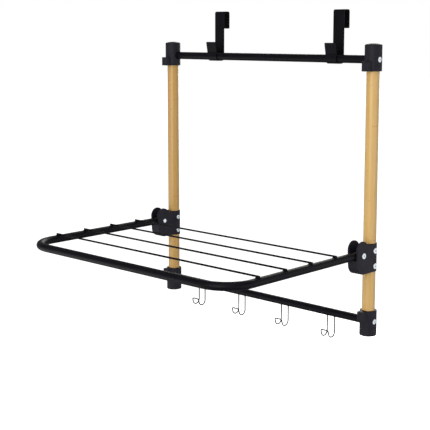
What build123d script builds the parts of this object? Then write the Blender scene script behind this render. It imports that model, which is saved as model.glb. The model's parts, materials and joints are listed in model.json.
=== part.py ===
"""Over-the-door clothes drying rack: a hanging frame with a fold-up tray.

Sizes are in millimetres. X runs along the rails, +Y points at the door and +Z is up.
Pieces are drawn with the upright axes at Y = 0 and the top rail's axis at Z = 0, and
place() moves each one so that the origin is under the middle of the whole rack.
"""

from build123d import *
import os
from math import asin, cos, degrees, radians, sin, sqrt, tan

# overall frame
post_spacing = 650.0
rail_spacing = 610.0
post_d = 30.0
post_chamfer = 1.0
tube_d = 19.0
tube_wall = 1.2

# running and seating clearances
seat_gap = 0.1
touch_gap = 0.05
thread_gap = 0.025
running_gap = 0.05
moving_gap = 0.3
rail_end_gap = 0.4

# moulded corner connectors
connector_wall = 4.9
connector_closed_end = 36.5
connector_open_end = 26.5
connector_cap = 4.5
connector_crown = 2.5
connector_edge_r = 2.2
connector_rim_r = 0.8
lug_width = 18.0
lug_front = 34.0
lug_height = 22.0
lug_edge_r = 2.5
door_flat_depth = 0.5

# fasteners: bolt_d along the rails, small_bolt_d in the brackets
bolt_d = 6.0
small_bolt_d = 5.0
bolt_clear_d = 6.4
head_d = 14.0
head_t = 1.8
head_edge_r = 1.0
head_pocket_d = 15.0
socket_af = 4.0
socket_depth = 1.4
connector_floor = 1.2
bracket_floor = 0.8
bolt_grip = 17.0
plug_length = 24.0
plug_chamfer = 0.8
nut_head_d = 11.0
nut_pocket_d = 12.0
nut_barrel = 7.2
nut_open_depth = 3.0
nut_edge_r = 0.9

# tray hinge brackets
pivot_rise = 164.0
pivot_forward = 47.0
cheek_r = 20.5
cheek_forward = 3.2
cheek_rise = 13.5
heel_r = 23.0
heel_back = 1.5
heel_fall = 20.5
cheek_t = 4.5
cheek_edge_r = 1.2
notch_r = 5.0
tube_side_gap = 0.5
web_t = 3.0
bracket_top = 22.5
sleeve_wall = 2.0
slot_back = 20.0
parting_gap = 0.1
post_bolt_high = 5.2
post_bolt_low = -31.2
pivot_sleeve_d = 8.0

# folding tray
tray_reach = 442.0
tray_offset = 2.5
tray_corner_r = 70.0
tray_tail = 14.0
rod_d = 4.5
rod_count = 4
rod_end_gap = 90.0
rod_overhang = 5.0
rod_end_r = 0.9
tray_plug_length = 34.0
tray_plug_cap = 2.0
tray_cap_edge_r = 1.4

# sliding door hooks
strap_width = 31.5
strap_t = 2.0
door_slot = 18.0
hook_rise = 115.0
return_leg = 44.0
lip_rise = 37.0
lip_flare_from = 12.0
lip_flare = 4.5
lip_bend_r = 12.0
strap_bend_r = 4.0
cradle_back_r = 8.0
strap_corner_r = 3.0
strap_edge_r = 0.4
left_hook_x = -170.0
right_hook_x = 213.0

# wire hooks under the bottom rail
wire_d = 3.0
wire_hook_count = 4
wire_hook_pitch = 144.8
wire_hook_width = 22.0
wire_hook_drop = 57.5
wire_bend_r = 11.5
wire_bottom_flat = 0.6
wire_tip_r = 5.0
wire_tip_angle = 75.0
wire_tip_length = 18.8

# derived places
half_span = post_spacing / 2
post_r = post_d / 2
tube_r = tube_d / 2
bore_r = tube_r - tube_wall
rod_r = rod_d / 2
wire_r = wire_d / 2
tray_half = half_span + tray_offset
pivot_y = -pivot_forward
pivot_z = pivot_rise - rail_spacing
cheek_inner = tube_r + tube_side_gap
cheek_outer = cheek_inner + cheek_t
bracket_bottom = heel_fall + heel_r
sleeve_r = post_r + sleeve_wall
socket_r = post_r + seat_gap
connector_r = socket_r + connector_wall
connector_seat = socket_r + connector_floor
bracket_seat = socket_r + bracket_floor
tray_front = pivot_y - tray_reach
rod_pitch = (tray_reach - 2 * rod_end_gap) / (rod_count - 1)
strap_back = connector_r - door_flat_depth
strap_mid = strap_back - strap_t / 2
cradle_r = tube_r + moving_gap + strap_t / 2
return_mid = strap_back + door_slot + strap_t / 2
corner_cut = strap_t + door_slot / 2  # deep enough for a leaning lip, clear of the leg behind
rail_end = half_span - post_r - rail_end_gap
lowest = -(rail_spacing + max(wire_hook_drop + wire_r, connector_closed_end))
rack_front = tray_front - tube_r
rack_back = return_mid + strap_t / 2
beyond = post_spacing  # a cut this long runs past any piece

os.makedirs("parts", exist_ok=True)


def place(shape):
    """Move a piece so that the origin is at the middle of the rack's footprint."""
    return Pos(0, -(rack_front + rack_back) / 2, -lowest) * shape


def save(name, *solids):
    shape = solids[0] if len(solids) == 1 else Compound(children=list(solids))
    export_step(place(shape), "parts/" + name + ".step")


def along_x(radius, x_from, x_to, y=0.0, z=0.0):
    """A round bar along X between two places."""
    bar = Cylinder(radius, abs(x_to - x_from), rotation=(0, 90, 0))
    return Pos((x_from + x_to) / 2, y, z) * bar


def mirrored(shape, side):
    """The right-hand piece for side 1, its mirror image for side -1."""
    return shape if side > 0 else mirror(shape, about=Plane.YZ)


def swept(path, radius):
    """A round bar of one radius along a wire."""
    return sweep((path ^ 0) * Circle(radius), path=path)


# uprights and rails


def post(side):
    length = rail_spacing + 2 * (connector_closed_end - connector_cap)
    pole = Pos(0, 0, -rail_spacing / 2) * Cylinder(post_r, length)
    pole = chamfer(pole.edges().filter_by(GeomType.CIRCLE), post_chamfer)
    for z in (0, -rail_spacing, pivot_z + post_bolt_high, pivot_z + post_bolt_low):
        pole -= along_x(bolt_clear_d / 2, -post_d, post_d, 0, z)
    return Pos(side * half_span, 0, 0) * pole


def rail(z):
    return along_x(tube_r, -rail_end, rail_end, 0, z) - along_x(bore_r, -rail_end, rail_end, 0, z)


def rail_plug(side, z):
    """Threaded plug inside a rail's end."""
    end = rail_end - touch_gap
    plug = along_x(bore_r - touch_gap, end - plug_length, end, 0, z)
    plug = chamfer(plug.edges().group_by(Axis.X)[0], plug_chamfer)
    plug -= along_x(bolt_d / 2, end - plug_length, end, 0, z)
    return mirrored(plug, side)


def connector(side, top):
    """Corner moulding: a blind socket for the post, a hole for the rail and a front lug."""
    shoulder = connector_closed_end - connector_crown - connector_edge_r
    edge = connector_r - connector_edge_r
    crown_r = (edge**2 + connector_crown**2) / (2 * connector_crown)
    with BuildSketch(Plane.XZ) as profile:
        with BuildLine():
            top_arc = JernArc((0, connector_closed_end), (1, 0), crown_r, -degrees(asin(edge / crown_r)))
            corner = TangentArc((connector_r, shoulder), top_arc @ 1, tangent=(0, 1))
            Polyline(corner @ 0, (connector_r, -connector_open_end), (0, -connector_open_end), top_arc @ 0)
        make_face()
        rim = profile.vertices().sort_by_distance(Vector(connector_r, 0, -connector_open_end))[0]
        fillet(rim, connector_rim_r)
    body = revolve(profile.sketch, Axis.Z)
    lug_middle = lug_height / 2 - connector_open_end
    lug = Pos(0, -lug_front / 2, lug_middle) * Box(lug_width, lug_front, lug_height)
    lug = fillet(lug.edges().group_by(Axis.Y)[0], lug_edge_r)
    body = body + lug
    body -= Pos(0, 0, (connector_closed_end - connector_cap - connector_open_end) / 2) * Cylinder(
        socket_r, connector_closed_end - connector_cap + connector_open_end)
    body -= Pos(0, strap_back + beyond / 2, 0) * Box(beyond, beyond, beyond)
    body -= along_x(tube_r + seat_gap, -beyond, 0)
    body -= along_x(bolt_clear_d / 2, 0, beyond)
    body -= along_x(head_pocket_d / 2, connector_seat, beyond)
    if not top:
        body = mirror(body, about=Plane.XY)
    body = Pos(half_span, 0, 0 if top else -rail_spacing) * body
    return mirrored(body, side)


def head(radius, thickness):
    """Pan head with a hexagon socket, seated on X = 0 and pointing along +X."""
    pan = fillet(along_x(radius, 0, thickness).edges().group_by(Axis.X)[-1], head_edge_r)
    socket = Plane.YZ.offset(thickness - socket_depth) * RegularPolygon(socket_af / sqrt(3), 6)
    return pan - extrude(socket, 2 * socket_depth)


def rail_bolt(side, z):
    """Bolt from the outside through connector and post into the rail's plug."""
    tip = -(post_r + bolt_grip)
    bolt = Pos(connector_seat, 0, 0) * head(head_d / 2, head_t)
    bolt += along_x(bolt_d / 2 - thread_gap, tip, connector_seat)
    return mirrored(Pos(half_span, 0, z) * bolt, side)


# hinge brackets


def egg(inset):
    """Cheek shape about the pivot, in the plane across X, with its outline moved inwards."""
    upper = Pos(-cheek_forward, cheek_rise) * Circle(cheek_r - inset)
    lower = Pos(heel_back, -heel_fall) * Circle(heel_r - inset)
    return make_hull(upper.edges() + lower.edges())


def bracket_outline():
    length = pivot_forward - heel_back
    back = Pos(heel_back + length / 2, (bracket_top - bracket_bottom) / 2) * Rectangle(
        length, bracket_top + bracket_bottom)
    shape = egg(0) + back
    notch = (sqrt(cheek_r**2 - (bracket_top - cheek_rise)**2) - cheek_forward, bracket_top)
    return fillet(shape.vertices().sort_by_distance(notch)[0], notch_r)


def bracket_slot():
    """Space that the tray tube needs: open at the front and top, closed below by the web."""
    floor = -(tube_r + moving_gap)
    upper = Pos(slot_back - beyond / 2, floor + beyond / 2) * Rectangle(beyond, beyond)
    lower = egg(web_t) & (Pos(slot_back - beyond / 2, 0) * Rectangle(beyond, beyond))
    return upper + lower


def bracket_shell(side, outer):
    """One half of a hinge bracket: a cheek, half of the web and half of the post sleeve."""
    across = Plane.YZ
    shift = tray_offset if outer else -tray_offset
    body = extrude(across * bracket_outline(), cheek_outer + shift)
    rim = body.edges().group_by(Axis.X)[-1].sort_by(Axis.Y)[:-1]
    body = fillet(rim, cheek_edge_r)
    height = bracket_top + bracket_bottom
    middle = (bracket_top - bracket_bottom) / 2
    sleeve = Pos(0, pivot_forward, middle) * Cylinder(sleeve_r, height)
    body += sleeve & (Pos(sleeve_r, pivot_forward, middle) * Box(2 * sleeve_r, 2 * sleeve_r, height))
    body -= extrude(across * bracket_slot(), cheek_inner + shift)
    body -= Pos(0, pivot_forward, middle) * Cylinder(socket_r, beyond)
    hole = small_bolt_d / 2 if outer else pivot_sleeve_d / 2
    pocket = head_pocket_d / 2 if outer else nut_pocket_d / 2
    body -= along_x(hole + running_gap, 0, beyond)
    for z in (post_bolt_high, post_bolt_low):
        body -= along_x(bolt_clear_d / 2, 0, beyond, pivot_forward, z)
        body -= along_x(pocket, bracket_seat, beyond, pivot_forward, z)
    body -= Box(parting_gap, beyond, beyond)
    if not outer:
        body = mirror(body, about=Plane.YZ)
    return mirrored(Pos(half_span, pivot_y, pivot_z) * body, side)


def bracket_bolt(side, z):
    """Bolt through sleeve halves and post, from the outside to the nut inside."""
    bolt = Pos(bracket_seat, 0, 0) * head(head_d / 2, head_t)
    bolt += along_x(small_bolt_d / 2 - thread_gap, nut_open_depth - bracket_seat, bracket_seat)
    return mirrored(Pos(half_span, 0, pivot_z + z) * bolt, side)


def bracket_nut(side, z):
    """Flanged sleeve nut on the inner side of the post."""
    nut = along_x(nut_head_d / 2, -bracket_seat - head_t, -bracket_seat)
    nut = fillet(nut.edges().group_by(Axis.X)[0], nut_edge_r)
    nut += along_x(bolt_d / 2, -bracket_seat, -bracket_seat + nut_barrel)
    nut -= along_x(small_bolt_d / 2, -beyond, 0)
    return mirrored(Pos(half_span, 0, pivot_z + z) * nut, side)


def pivot_bolt(side):
    bolt = Pos(cheek_outer, 0, 0) * head(head_d / 2, head_t)
    bolt += along_x(small_bolt_d / 2 - thread_gap, -cheek_inner, cheek_outer)
    return mirrored(Pos(tray_half, pivot_y, pivot_z) * bolt, side)


def pivot_sleeve(side):
    """Sleeve nut that the tray turns on, flanged on the inner cheek."""
    nut = along_x(nut_head_d / 2, -cheek_outer - head_t, -cheek_outer)
    nut = fillet(nut.edges().group_by(Axis.X)[0], nut_edge_r)
    nut += along_x(pivot_sleeve_d / 2, -cheek_outer, cheek_inner - touch_gap)
    nut -= along_x(small_bolt_d / 2, -cheek_outer, cheek_inner)
    return mirrored(Pos(tray_half, pivot_y, pivot_z) * nut, side)


# folding tray


def tray_tube():
    tail = pivot_y + tray_tail
    path = FilletPolyline((-tray_half, tail, pivot_z), (-tray_half, tray_front, pivot_z),
                          (tray_half, tray_front, pivot_z), (tray_half, tail, pivot_z), radius=tray_corner_r)
    tube = swept(path, tube_r) - swept(path, bore_r)
    for side in (-1, 1):
        hole = along_x(pivot_sleeve_d / 2 + moving_gap, -tube_d, tube_d, pivot_y, pivot_z)
        tube -= Pos(side * tray_half, 0, 0) * hole
    return tube


def tray_plug(side):
    """Moulded plug in a tube end, with the bearing that turns on the pivot sleeve."""
    tail = tray_tail + touch_gap
    inside = Pos(0, tail - tray_plug_length / 2, 0) * Cylinder(
        bore_r - touch_gap, tray_plug_length, rotation=(90, 0, 0))
    cap = Pos(0, tail + tray_plug_cap / 2, 0) * Cylinder(
        tube_r - seat_gap, tray_plug_cap, rotation=(90, 0, 0))
    cap = fillet(cap.edges().group_by(Axis.Y)[-1], tray_cap_edge_r)
    plug = inside + cap - along_x(pivot_sleeve_d / 2 + running_gap, -tube_d, tube_d)
    return Pos(side * tray_half, pivot_y, pivot_z) * plug


def tray_rod(number):
    """Rods are numbered from the hinges to the front."""
    y = pivot_y - rod_end_gap - (number - 1) * rod_pitch
    z = pivot_z + tube_r + rod_r + touch_gap
    end = tray_half + rod_overhang
    rod = along_x(rod_r, -end, end, y, z)
    return fillet(rod.edges().filter_by(GeomType.CIRCLE), rod_end_r)


# door hooks


def round_corners(strap, y, z, up):
    """Round both corners of a strap's end; up is 1 for an upper end, -1 for a lower one."""
    r = strap_corner_r
    for side in (-1, 1):
        x_in = side * (strap_width / 2 - r)
        corner = Pos(x_in + side * r / 2, y, z - up * r / 2) * Box(r, corner_cut, r)
        corner -= Pos(x_in, y, z - up * r) * Cylinder(r, 2 * corner_cut, rotation=(90, 0, 0))
        strap -= corner
    return strap


def door_hook(x):
    """Flat strap: a leg behind the door, a bridge over it and a cradle round the top rail."""
    half = strap_t / 2
    top = hook_rise - half
    lip_y = -cradle_r - lip_flare
    line = FilletPolyline(
        (return_mid, hook_rise - return_leg + half), (return_mid, top), (strap_mid, top),
        (strap_mid, -cradle_r), (-cradle_r, -cradle_r), (-cradle_r, lip_flare_from),
        (lip_y, lip_rise - half),
        radius=[strap_bend_r, strap_bend_r, cradle_back_r, cradle_r, lip_bend_r])
    section = make_face(offset(line, half, side=Side.BOTH))
    strap = extrude(Plane.YZ * section, strap_width / 2, both=True)
    sides = strap.edges().group_by(Axis.X)
    strap = fillet(sides[0] + sides[-1], strap_edge_r)
    strap = round_corners(strap, return_mid, hook_rise - return_leg, -1)
    strap = round_corners(strap, lip_y, lip_rise, 1)
    return Pos(x, 0, 0) * strap


# wire hooks


def wire_hook(x):
    """One bent wire: two legs under the bottom rail that join in an upturned tip."""
    half = wire_hook_width / 2
    top = -rail_spacing - tube_r - touch_gap
    bottom = -rail_spacing - wire_hook_drop
    turn = radians(wire_tip_angle)
    bend_y = -(wire_bend_r * (1 + tan(turn / 2)) + wire_bottom_flat)
    tip_y = bend_y - wire_tip_length * cos(turn)
    tip_z = bottom + wire_tip_length * sin(turn)
    path = FilletPolyline(
        (-half, 0, top), (-half, 0, bottom), (-half, bend_y, bottom), (-half, tip_y, tip_z),
        (half, tip_y, tip_z), (half, bend_y, bottom), (half, 0, bottom), (half, 0, top),
        radius=[wire_bend_r, wire_bend_r, wire_tip_r, wire_tip_r, wire_bend_r, wire_bend_r])
    return Pos(x, 0, 0) * swept(path, wire_r)


for side, hand in ((-1, "left"), (1, "right")):
    save(hand + "_upright", post(side))
    save("top_" + hand + "_connector", connector(side, True))
    save("bottom_" + hand + "_connector", connector(side, False))
    save(hand + "_bracket_outer_shell", bracket_shell(side, True))
    save(hand + "_bracket_inner_shell", bracket_shell(side, False))
    save(hand + "_bracket_bolts", bracket_bolt(side, post_bolt_high), bracket_bolt(side, post_bolt_low))
    save(hand + "_bracket_nuts", bracket_nut(side, post_bolt_high), bracket_nut(side, post_bolt_low))
    save(hand + "_pivot_bolt", pivot_bolt(side))
    save(hand + "_pivot_sleeve", pivot_sleeve(side))
    save(hand + "_tray_plug", tray_plug(side))

for name, z in (("top", 0), ("bottom", -rail_spacing)):
    save(name + "_rail", rail(z))
    save(name + "_rail_plugs", rail_plug(-1, z), rail_plug(1, z))
    save(name + "_rail_bolts", rail_bolt(-1, z), rail_bolt(1, z))

save("tray_tube", tray_tube())
for number in range(1, rod_count + 1):
    save("tray_rod_" + str(number), tray_rod(number))

save("left_door_hook", door_hook(left_hook_x))
save("right_door_hook", door_hook(right_hook_x))

for number in range(wire_hook_count):
    x = (number - (wire_hook_count - 1) / 2) * wire_hook_pitch
    save("wire_hook_" + str(number + 1), wire_hook(x))
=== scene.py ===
import json
import math

import bpy
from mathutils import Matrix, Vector


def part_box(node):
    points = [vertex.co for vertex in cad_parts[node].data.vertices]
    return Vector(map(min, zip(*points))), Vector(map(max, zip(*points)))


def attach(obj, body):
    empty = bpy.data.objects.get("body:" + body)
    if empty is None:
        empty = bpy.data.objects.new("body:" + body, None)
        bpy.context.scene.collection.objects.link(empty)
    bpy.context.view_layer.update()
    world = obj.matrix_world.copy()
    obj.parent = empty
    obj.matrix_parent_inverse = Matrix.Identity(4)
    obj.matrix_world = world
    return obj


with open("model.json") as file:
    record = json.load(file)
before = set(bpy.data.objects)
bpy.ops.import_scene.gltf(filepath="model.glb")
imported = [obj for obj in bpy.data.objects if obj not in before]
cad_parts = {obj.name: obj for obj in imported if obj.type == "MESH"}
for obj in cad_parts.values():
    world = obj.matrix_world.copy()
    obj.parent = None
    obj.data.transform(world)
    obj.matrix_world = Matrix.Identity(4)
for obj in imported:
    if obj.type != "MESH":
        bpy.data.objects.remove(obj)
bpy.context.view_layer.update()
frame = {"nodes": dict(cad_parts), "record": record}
print("frame loaded with", len(frame["nodes"]), "nodes")

scene = bpy.context.scene
mm = 0.001


def linear(hexCode):
    # an sRGB hex colour as the linear values that shaders want
    channels = [int(hexCode[i:i + 2], 16) / 255 for i in (1, 3, 5)]
    return [c / 12.92 if c <= 0.04045 else ((c + 0.055) / 1.055) ** 2.4 for c in channels] + [1.0]


def setInputs(tree, node, inputs):
    # sockets by name or number: a value, another socket, or a node, which gives its first output
    for key, value in inputs.items():
        if isinstance(value, bpy.types.Node):
            value = value.outputs[0]
        if isinstance(value, bpy.types.NodeSocket):
            tree.links.new(value, node.inputs[key])
        else:
            node.inputs[key].default_value = value


def addNode(tree, kind, inputs=None, stops=(), **settings):
    # one node: settings are its properties, stops a ramp's positions and hex colours
    node = tree.nodes.new(kind)
    for name, value in settings.items():
        setattr(node, name, value)
    setInputs(tree, node, inputs or {})
    if stops:
        elements = node.color_ramp.elements
        while len(elements) < len(stops):
            elements.new(0.5)
        for element, (position, code) in zip(elements, stops):
            element.position = position
            element.color = linear(code)
    return node


def newMaterial(name):
    # an empty material with a principled shader, its output and object coordinates
    material = bpy.data.materials.new(name)
    material.use_nodes = True
    tree = material.node_tree
    tree.nodes.clear()
    shader = addNode(tree, "ShaderNodeBsdfPrincipled")
    addNode(tree, "ShaderNodeOutputMaterial", {"Surface": shader})
    place = addNode(tree, "ShaderNodeTexCoord").outputs["Object"]
    return material, tree, shader, place


def middleOf(nodeName):
    low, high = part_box(nodeName)
    return (Vector(low) + Vector(high)) / 2


# finishes

powderCoat = {
    "dark": "#05050a",
    "light": "#0a0a14",
    "orangePeel": 2.4 * mm,    # the real ripple is about 1 mm, drawn coarser so that it shows
    "mottle": 30 * mm,
    "roughness": (0.42, 0.52),
    "specular": 0.12,
    "depth": 0.012 * mm,
}


def makePowderCoat(name, s=powderCoat):
    # satin black polyester powder, baked on steel: soft highlights over a faint orange peel
    material, tree, shader, place = newMaterial(name)
    mottle = addNode(tree, "ShaderNodeTexNoise", {
        "Vector": place, "Scale": 1 / s["mottle"], "Detail": 4.0})
    peel = addNode(tree, "ShaderNodeTexNoise", {
        "Vector": place, "Scale": 1 / s["orangePeel"], "Detail": 2.0})
    colour = addNode(tree, "ShaderNodeValToRGB", {"Fac": mottle},
                     stops=[(0.35, s["dark"]), (0.65, s["light"])])
    gloss = addNode(tree, "ShaderNodeMapRange", {
        "Value": mottle, "From Min": 0.3, "From Max": 0.7,
        "To Min": s["roughness"][0], "To Max": s["roughness"][1]})
    bump = addNode(tree, "ShaderNodeBump", {
        "Height": peel, "Strength": 0.5, "Distance": s["depth"]})
    setInputs(tree, shader, {"Base Color": colour, "Roughness": gloss, "Normal": bump,
                             "Specular IOR Level": s["specular"]})
    return material


moulding = {
    "dark": "#15141d",
    "light": "#1f1e2b",
    "grit": 1.1 * mm,          # spark texture, really about 0.3 mm
    "mottle": 18 * mm,
    "roughness": (0.52, 0.64),
    "specular": 0.24,
    "depth": 0.06 * mm,
}


def makeMoulding(name="spark textured black nylon", s=moulding):
    # injection moulded nylon with a fine spark texture: matt, with a broad dull sheen
    material, tree, shader, place = newMaterial(name)
    mottle = addNode(tree, "ShaderNodeTexNoise", {
        "Vector": place, "Scale": 1 / s["mottle"], "Detail": 5.0})
    grit = addNode(tree, "ShaderNodeTexVoronoi", {"Vector": place, "Scale": 1 / s["grit"]})
    colour = addNode(tree, "ShaderNodeValToRGB", {"Fac": mottle},
                     stops=[(0.3, s["dark"]), (0.7, s["light"])])
    gloss = addNode(tree, "ShaderNodeMapRange", {
        "Value": grit, "From Min": 0.0, "From Max": 0.7,
        "To Min": s["roughness"][0], "To Max": s["roughness"][1]})
    bump = addNode(tree, "ShaderNodeBump", {
        "Height": grit, "Strength": 0.6, "Distance": s["depth"]})
    setInputs(tree, shader, {"Base Color": colour, "Roughness": gloss, "Normal": bump,
                             "Specular IOR Level": s["specular"]})
    return material


bamboo = {
    "tones": [(0.0, "#c59848"), (0.2, "#d1a856"), (0.4, "#dab474"),
              (0.6, "#cea44e"), (0.8, "#dfbf76"), (1.0, "#ca9f4a")],
    "deep": "#a87838",
    "leftPoleShade": 0.35,          # painted shade: the left pole is drawn a shade deeper, standing in for the light that falls off towards the left of the rack
    "strip": 4.6 * mm,         # width of one lamination
    "turn": math.radians(24),  # how the laminations lie across the pole
    "stripTone": 0.55,         # how much of a tone comes from the strip, the rest from its fibres
    "fibre": 0.9 * mm,
    "fibreLength": 60 * mm,
    "drift": 0.4,              # slow change of tone along a strip
    "driftScale": (60, 60, 9),
    "knuckleEvery": 265 * mm,
    "knuckle": 2.6 * mm,
    "knuckleSpread": 7.3,      # how far the strips' knuckles lie apart in height, in spacings
    "knuckleWaver": 0.006,
    "knuckleMark": 0.2,
    "glueLine": 0.045,         # as a share of the strip
    "glueMark": 0.16,
    "mark": "#8a5f2c",
    "roughness": (0.36, 0.5),
    "grain": 0.1 * mm,
    "lacquer": 0.25,
    "lacquerRoughness": 0.3,
}


def makeBamboo(name="lacquered laminated bamboo", s=bamboo):
    # pressed strips turned to a round pole: straight bands of tone, long fibres,
    # a knuckle here and there, all under a thin satin lacquer; the left pole also carries painted shade
    material, tree, shader, place = newMaterial(name)
    turned = addNode(tree, "ShaderNodeMapping", {"Vector": place, "Rotation": (0, 0, s["turn"])})
    axes = addNode(tree, "ShaderNodeSeparateXYZ", {"Vector": turned})
    across = addNode(tree, "ShaderNodeMath", {0: axes.outputs["X"], 1: s["strip"]}, operation="DIVIDE")
    strip = addNode(tree, "ShaderNodeMath", {0: across}, operation="FLOOR")
    chance = addNode(tree, "ShaderNodeTexWhiteNoise", {"W": strip}, noise_dimensions="1D")

    # fibres: noise squeezed across the strip and drawn out along it, shifted from strip to strip
    lift = addNode(tree, "ShaderNodeCombineXYZ", {"Z": chance})
    shifted = addNode(tree, "ShaderNodeVectorMath", {0: place, 1: lift}, operation="ADD")
    squeezed = addNode(tree, "ShaderNodeMapping", {
        "Vector": shifted, "Scale": (1 / s["fibre"], 1 / s["fibre"], 1 / s["fibreLength"])})
    fibre = addNode(tree, "ShaderNodeTexNoise", {"Vector": squeezed, "Scale": 1.0, "Detail": 5.0})
    cloud = addNode(tree, "ShaderNodeMapping", {"Vector": shifted, "Scale": s["driftScale"]})
    drift = addNode(tree, "ShaderNodeTexNoise", {"Vector": cloud, "Scale": 1.0, "Detail": 2.0})
    fibreTone = addNode(tree, "ShaderNodeMath", {0: fibre, 1: 1 - s["stripTone"]}, operation="MULTIPLY")
    stripTone = addNode(tree, "ShaderNodeMath", {
        0: chance, 1: s["stripTone"], 2: fibreTone}, operation="MULTIPLY_ADD")
    driftTone = addNode(tree, "ShaderNodeMath", {
        0: drift, 1: s["drift"], 2: -s["drift"] / 2}, operation="MULTIPLY_ADD")
    tone = addNode(tree, "ShaderNodeMath", {0: stripTone, 1: driftTone}, operation="ADD")
    wood = addNode(tree, "ShaderNodeValToRGB", {"Fac": tone}, stops=s["tones"])
    # painted shade: wood on the left side of the rack is mixed towards a deeper colour, for the weaker
    # light there
    shadedSide = addNode(tree, "ShaderNodeMath", {0: axes.outputs["X"], 1: 0.0}, operation="LESS_THAN")
    deeper = addNode(tree, "ShaderNodeMath", {0: shadedSide, 1: s["leftPoleShade"]}, operation="MULTIPLY")
    shadedWood = addNode(tree, "ShaderNodeMix", {"Factor": deeper, 6: wood, 7: linear(s["deep"])},
                   data_type="RGBA", blend_type="MIX")

    # knuckles: each strip has its own heights
    spread = addNode(tree, "ShaderNodeMath", {0: chance, 1: s["knuckleSpread"]}, operation="MULTIPLY")
    height = addNode(tree, "ShaderNodeMath", {
        0: axes.outputs["Z"], 1: 1 / s["knuckleEvery"], 2: spread}, operation="MULTIPLY_ADD")
    wavy = addNode(tree, "ShaderNodeMath", {
        0: fibre, 1: s["knuckleWaver"], 2: height}, operation="MULTIPLY_ADD")
    away, edge = (
        addNode(tree, "ShaderNodeMath", {0: addNode(tree, "ShaderNodeMath", {
            0: addNode(tree, "ShaderNodeMath", {0: value}, operation="FRACT"),
            1: 0.5}, operation="SUBTRACT")}, operation="ABSOLUTE")
        for value in (wavy, across))    # how far from the middle of a spacing, and of a strip
    knuckle = addNode(tree, "ShaderNodeMapRange", {
        "Value": away, "From Min": 0.0, "From Max": s["knuckle"] / s["knuckleEvery"],
        "To Min": s["knuckleMark"], "To Max": 0.0}, interpolation_type="SMOOTHSTEP")
    seam = addNode(tree, "ShaderNodeMath", {
        0: edge, 1: 0.5 - s["glueLine"] / 2}, operation="GREATER_THAN")
    marks = addNode(tree, "ShaderNodeMath", {
        0: seam, 1: s["glueMark"], 2: knuckle}, operation="MULTIPLY_ADD")
    marked = addNode(tree, "ShaderNodeMix", {
        "Factor": marks, 6: shadedWood.outputs[2], 7: linear(s["mark"])}, data_type="RGBA", blend_type="MIX")

    gloss = addNode(tree, "ShaderNodeMapRange", {
        "Value": fibre, "From Min": 0.3, "From Max": 0.7,
        "To Min": s["roughness"][0], "To Max": s["roughness"][1]})
    bump = addNode(tree, "ShaderNodeBump", {"Height": fibre, "Strength": 0.35, "Distance": s["grain"]})
    setInputs(tree, shader, {
        "Base Color": marked.outputs[2], "Roughness": gloss, "Normal": bump,
        "Coat Weight": s["lacquer"], "Coat Roughness": s["lacquerRoughness"]})
    return material


zinc = {"dark": "#d3dbe0", "light": "#eff5f8", "spangle": 1.6 * mm, "roughness": (0.3, 0.42)}


def makeZinc(name="bright zinc plated steel", s=zinc):
    # electroplated zinc: pale cool metal with a slightly uneven gloss
    material, tree, shader, place = newMaterial(name)
    spangle = addNode(tree, "ShaderNodeTexNoise", {
        "Vector": place, "Scale": 1 / s["spangle"], "Detail": 3.0})
    colour = addNode(tree, "ShaderNodeValToRGB", {"Fac": spangle},
                     stops=[(0.35, s["dark"]), (0.65, s["light"])])
    gloss = addNode(tree, "ShaderNodeMapRange", {
        "Value": spangle, "From Min": 0.3, "From Max": 0.7,
        "To Min": s["roughness"][0], "To Max": s["roughness"][1]})
    setInputs(tree, shader, {"Base Color": colour, "Roughness": gloss, "Metallic": 1.0})
    return material


finishes = {
    "bamboo": makeBamboo(),
    "black_tube": makePowderCoat("satin powder coat on tube"),
    "black_strap": makePowderCoat("satin powder coat on strap"),
    "black_wire": makePowderCoat("satin powder coat on wire"),
    "black_moulding": makeMoulding(),
    "zinc_fasteners": makeZinc(),
}
slotOf = {part["node"]: part["material_slot"] for part in frame["record"]["subparts"]}
for nodeName, node in frame["nodes"].items():
    node.data.materials.clear()
    node.data.materials.append(finishes[slotOf[nodeName]])
print("finishes on", len(frame["nodes"]), "nodes")


# weld beads

welds = {
    "rodBead": 10 * mm,        # length of the bead on each side of a rod
    "rodSteps": 8,
    "rodRadius": 1.15 * mm,
    "rodFlank": 0.9,           # how far out on the rod, as a share of its radius
    "rodRise": 0.3 * mm,
    "hookRadius": 0.8 * mm,
    "hookWire": 3 * mm,
    "hookRing": 1.15,          # radius of the ring, as a share of the wire's
    "hookSteps": 16,
    "hookSink": 0.2 * mm,
    "pitch": 0.9 * mm,         # one ripple to the next
    "smallest": (0.82, 0.82, 0.82),
    "largest": (1.1, 1.1, 1.0),
    "seed": 7,
}


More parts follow.
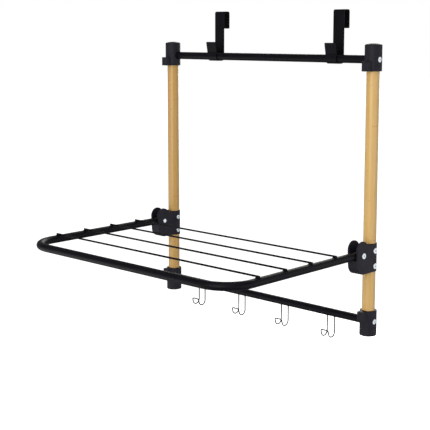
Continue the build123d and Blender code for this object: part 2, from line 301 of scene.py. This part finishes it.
def beadTree(name, radius, seed, material, s=welds):
    # droplets strung along each line of the base mesh, in a ripple like a weld's
    tree = bpy.data.node_groups.new(name, "GeometryNodeTree")
    tree.interface.new_socket("Geometry", in_out="INPUT", socket_type="NodeSocketGeometry")
    for title, value in (("Radius", radius), ("Pitch", s["pitch"])):
        size = tree.interface.new_socket(title, in_out="INPUT", socket_type="NodeSocketFloat")
        size.default_value = value
    tree.interface.new_socket("Geometry", in_out="OUTPUT", socket_type="NodeSocketGeometry")
    given = addNode(tree, "NodeGroupInput").outputs
    curve = addNode(tree, "GeometryNodeMeshToCurve", {"Mesh": given["Geometry"]})
    dots = addNode(tree, "GeometryNodeResampleCurve", {
        "Curve": curve, "Length": given["Pitch"]}, mode="LENGTH")
    drop = addNode(tree, "GeometryNodeMeshIcoSphere", {"Radius": given["Radius"], "Subdivisions": 3})
    scale = addNode(tree, "FunctionNodeRandomValue", {
        "Min": s["smallest"], "Max": s["largest"], "Seed": seed}, data_type="FLOAT_VECTOR")
    spread = addNode(tree, "GeometryNodeInstanceOnPoints", {
        "Points": dots, "Instance": drop, "Scale": scale})
    solid = addNode(tree, "GeometryNodeRealizeInstances", {"Geometry": spread})
    smooth = addNode(tree, "GeometryNodeSetShadeSmooth", {"Geometry": solid})
    coated = addNode(tree, "GeometryNodeSetMaterial", {"Geometry": smooth, "Material": material})
    addNode(tree, "NodeGroupOutput", {"Geometry": coated})
    return tree


def grow(name, lines, tree):
    # lines of points become one plain mesh through a Geometry Nodes tree
    points = [p for line in lines for p in line]
    edges = []
    start = 0
    for line in lines:
        edges += [(start + i, start + i + 1) for i in range(len(line) - 1)]
        start += len(line)
    base = bpy.data.meshes.new(name + "Lines")
    base.from_pydata(points, edges, [])
    piece = bpy.data.objects.new(name, base)
    scene.collection.objects.link(piece)
    piece.modifiers.new("grow", "NODES").node_group = tree
    bpy.context.view_layer.update()
    made = bpy.data.meshes.new_from_object(piece.evaluated_get(bpy.context.evaluated_depsgraph_get()))
    piece.modifiers.clear()
    piece.data = made
    made.name = name
    return piece


def rodBeads(s=welds):
    # two beads at each crossing, down in the valley between rod and tube
    lines = []
    tubeLow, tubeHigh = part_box("tray_tube")
    tubeR = (tubeHigh.z - tubeLow.z) / 2
    axisZ = (tubeLow.z + tubeHigh.z) / 2
    offsets = [(step / s["rodSteps"] - 0.5) * s["rodBead"] for step in range(s["rodSteps"] + 1)]
    for nodeName in sorted(n for n in frame["nodes"] if n.startswith("tray_rod")):
        low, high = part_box(nodeName)
        rodR = (high.z - low.z) / 2
        rodY = (low.y + high.y) / 2
        for side in (-1, 1):
            tubeX = side * (tubeHigh.x - tubeR)
            for flank in (-s["rodFlank"], s["rodFlank"]):
                lines.append([(tubeX + offset, rodY + flank * rodR,
                               axisZ + math.sqrt(tubeR ** 2 - offset ** 2) + s["rodRise"])
                              for offset in offsets])
    return lines


def hookBeads(s=welds):
    # a ring round each leg where it meets the rail
    lines = []
    railY = middleOf("bottom_rail").y
    wireR = s["hookWire"] / 2
    ringR = wireR * s["hookRing"]
    angles = [math.tau * i / s["hookSteps"] for i in range(s["hookSteps"] + 1)]
    for nodeName in sorted(n for n in frame["nodes"] if n.startswith("wire_hook")):
        low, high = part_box(nodeName)
        for legX in (low.x + wireR, high.x - wireR):
            lines.append([(legX + math.cos(a) * ringR, railY + math.sin(a) * ringR,
                           high.z - s["hookSink"]) for a in angles])
    return lines


wireCoat = finishes["black_wire"]
trayBeads = grow("tray_weld_beads", rodBeads(),
                 beadTree("rod bead", welds["rodRadius"], welds["seed"], wireCoat))
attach(trayBeads, "tray")
railBeads = grow("rail_weld_beads", hookBeads(),
                 beadTree("hook bead", welds["hookRadius"], welds["seed"] + 1, wireCoat))
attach(railBeads, "frame")
print("weld beads:", len(trayBeads.data.polygons) + len(railBeads.data.polygons), "faces")


# stage, lights and camera

studio = {
    "floorDrop": 0.9,
    "floorSize": 60.0,
    "floorColour": "#f4f4f2",
    "floorRoughness": 0.9,
    "floorGlow": 0.9,
    "white": "#ffffff",
    "worldSeen": 1.0,
    "worldLight": 0.3,
    "lamps": [
        # name, place, size, power, colour, whether it lights surfaces as well as showing in gloss
        ("front softbox", (1.0, -3.25, 0.9), 2.4, 84, "#fffaf2", True),
        ("low bounce board", (-1.9, -1.2, -0.8), 1.8, 20, "#ffffff", True),
        ("side bounce board", (2.9, 0.2, -0.3), 1.6, 16, "#ffffff", True),
        ("top softbox", (0.9, -0.9, 3.2), 2.0, 18, "#ffffff", True),
        ("back softbox", (2.4, 2.6, 0.2), 3.2, 25, "#fbfcff", False),
        ("rear softbox", (-1.3, 3.1, 1.2), 2.4, 84, "#fffdf8", True),
    ],
    "aim": (0.0, 0.0, 0.4),
}


def makeFloor(s=studio):
    half = s["floorSize"] / 2
    corners = [(x * half, y * half, -s["floorDrop"]) for x, y in ((-1, -1), (1, -1), (1, 1), (-1, 1))]
    mesh = bpy.data.meshes.new("studio_floor")
    mesh.from_pydata(corners, [], [(0, 1, 2, 3)])
    floor = bpy.data.objects.new("studio_floor", mesh)
    scene.collection.objects.link(floor)
    material, tree, shader, place = newMaterial("pale matt floor paint")
    setInputs(tree, shader, {
        "Base Color": linear(s["floorColour"]), "Roughness": s["floorRoughness"],
        "Emission Color": linear(s["white"]), "Emission Strength": s["floorGlow"]})
    mesh.materials.append(material)
    # the glow is for the eye, not a light from below
    floor.visible_diffuse = floor.visible_glossy = False


def makeWorld(s=studio):
    # a bright backdrop for the eye, and a softer light from it on the rack
    world = bpy.data.worlds.new("studio")
    world.use_nodes = True
    tree = world.node_tree
    tree.nodes.clear()
    seen = addNode(tree, "ShaderNodeLightPath").outputs["Is Camera Ray"]
    power = addNode(tree, "ShaderNodeMapRange", {
        "Value": seen, "To Min": s["worldLight"], "To Max": s["worldSeen"]})
    sky = addNode(tree, "ShaderNodeBackground", {"Color": linear(s["white"]), "Strength": power})
    addNode(tree, "ShaderNodeOutputWorld", {"Surface": sky})
    scene.world = world


def makeLamps(s=studio):
    for name, place, size, power, colour, lights in s["lamps"]:
        lamp = bpy.data.lights.new(name, "AREA")
        lamp.size = size
        lamp.energy = power
        lamp.color = linear(colour)[:3]
        holder = bpy.data.objects.new(name, lamp)
        holder.location = place
        holder.visible_diffuse = lights
        towards = Vector(s["aim"]) - Vector(place)
        holder.rotation_euler = towards.to_track_quat("-Z", "Y").to_euler()
        scene.collection.objects.link(holder)


camera = {
    "right": 1.6722,           # from the middle of the rack
    "forward": 1.9542,         # from the uprights
    "above": 0.0587,           # from the top rail
    "turn": 43.299,
    "dip": 7.685,
    "lens": 85.99,
    "sensor": 36,
    "shift": -0.1,
}


def makeCamera(s=camera):
    lens = bpy.data.cameras.new("camera")
    lens.sensor_width = s["sensor"]
    lens.lens = s["lens"]
    lens.shift_y = s["shift"]
    eye = bpy.data.objects.new("camera", lens)
    eye.location = (s["right"], middleOf("left_upright").y - s["forward"],
                    middleOf("top_rail").z + s["above"])
    eye.rotation_euler = (math.radians(90 - s["dip"]), 0, math.radians(s["turn"]))
    scene.collection.objects.link(eye)
    scene.camera = eye


makeFloor()
makeWorld()
makeLamps()
makeCamera()
scene.view_settings.view_transform = "Standard"
print("studio set")
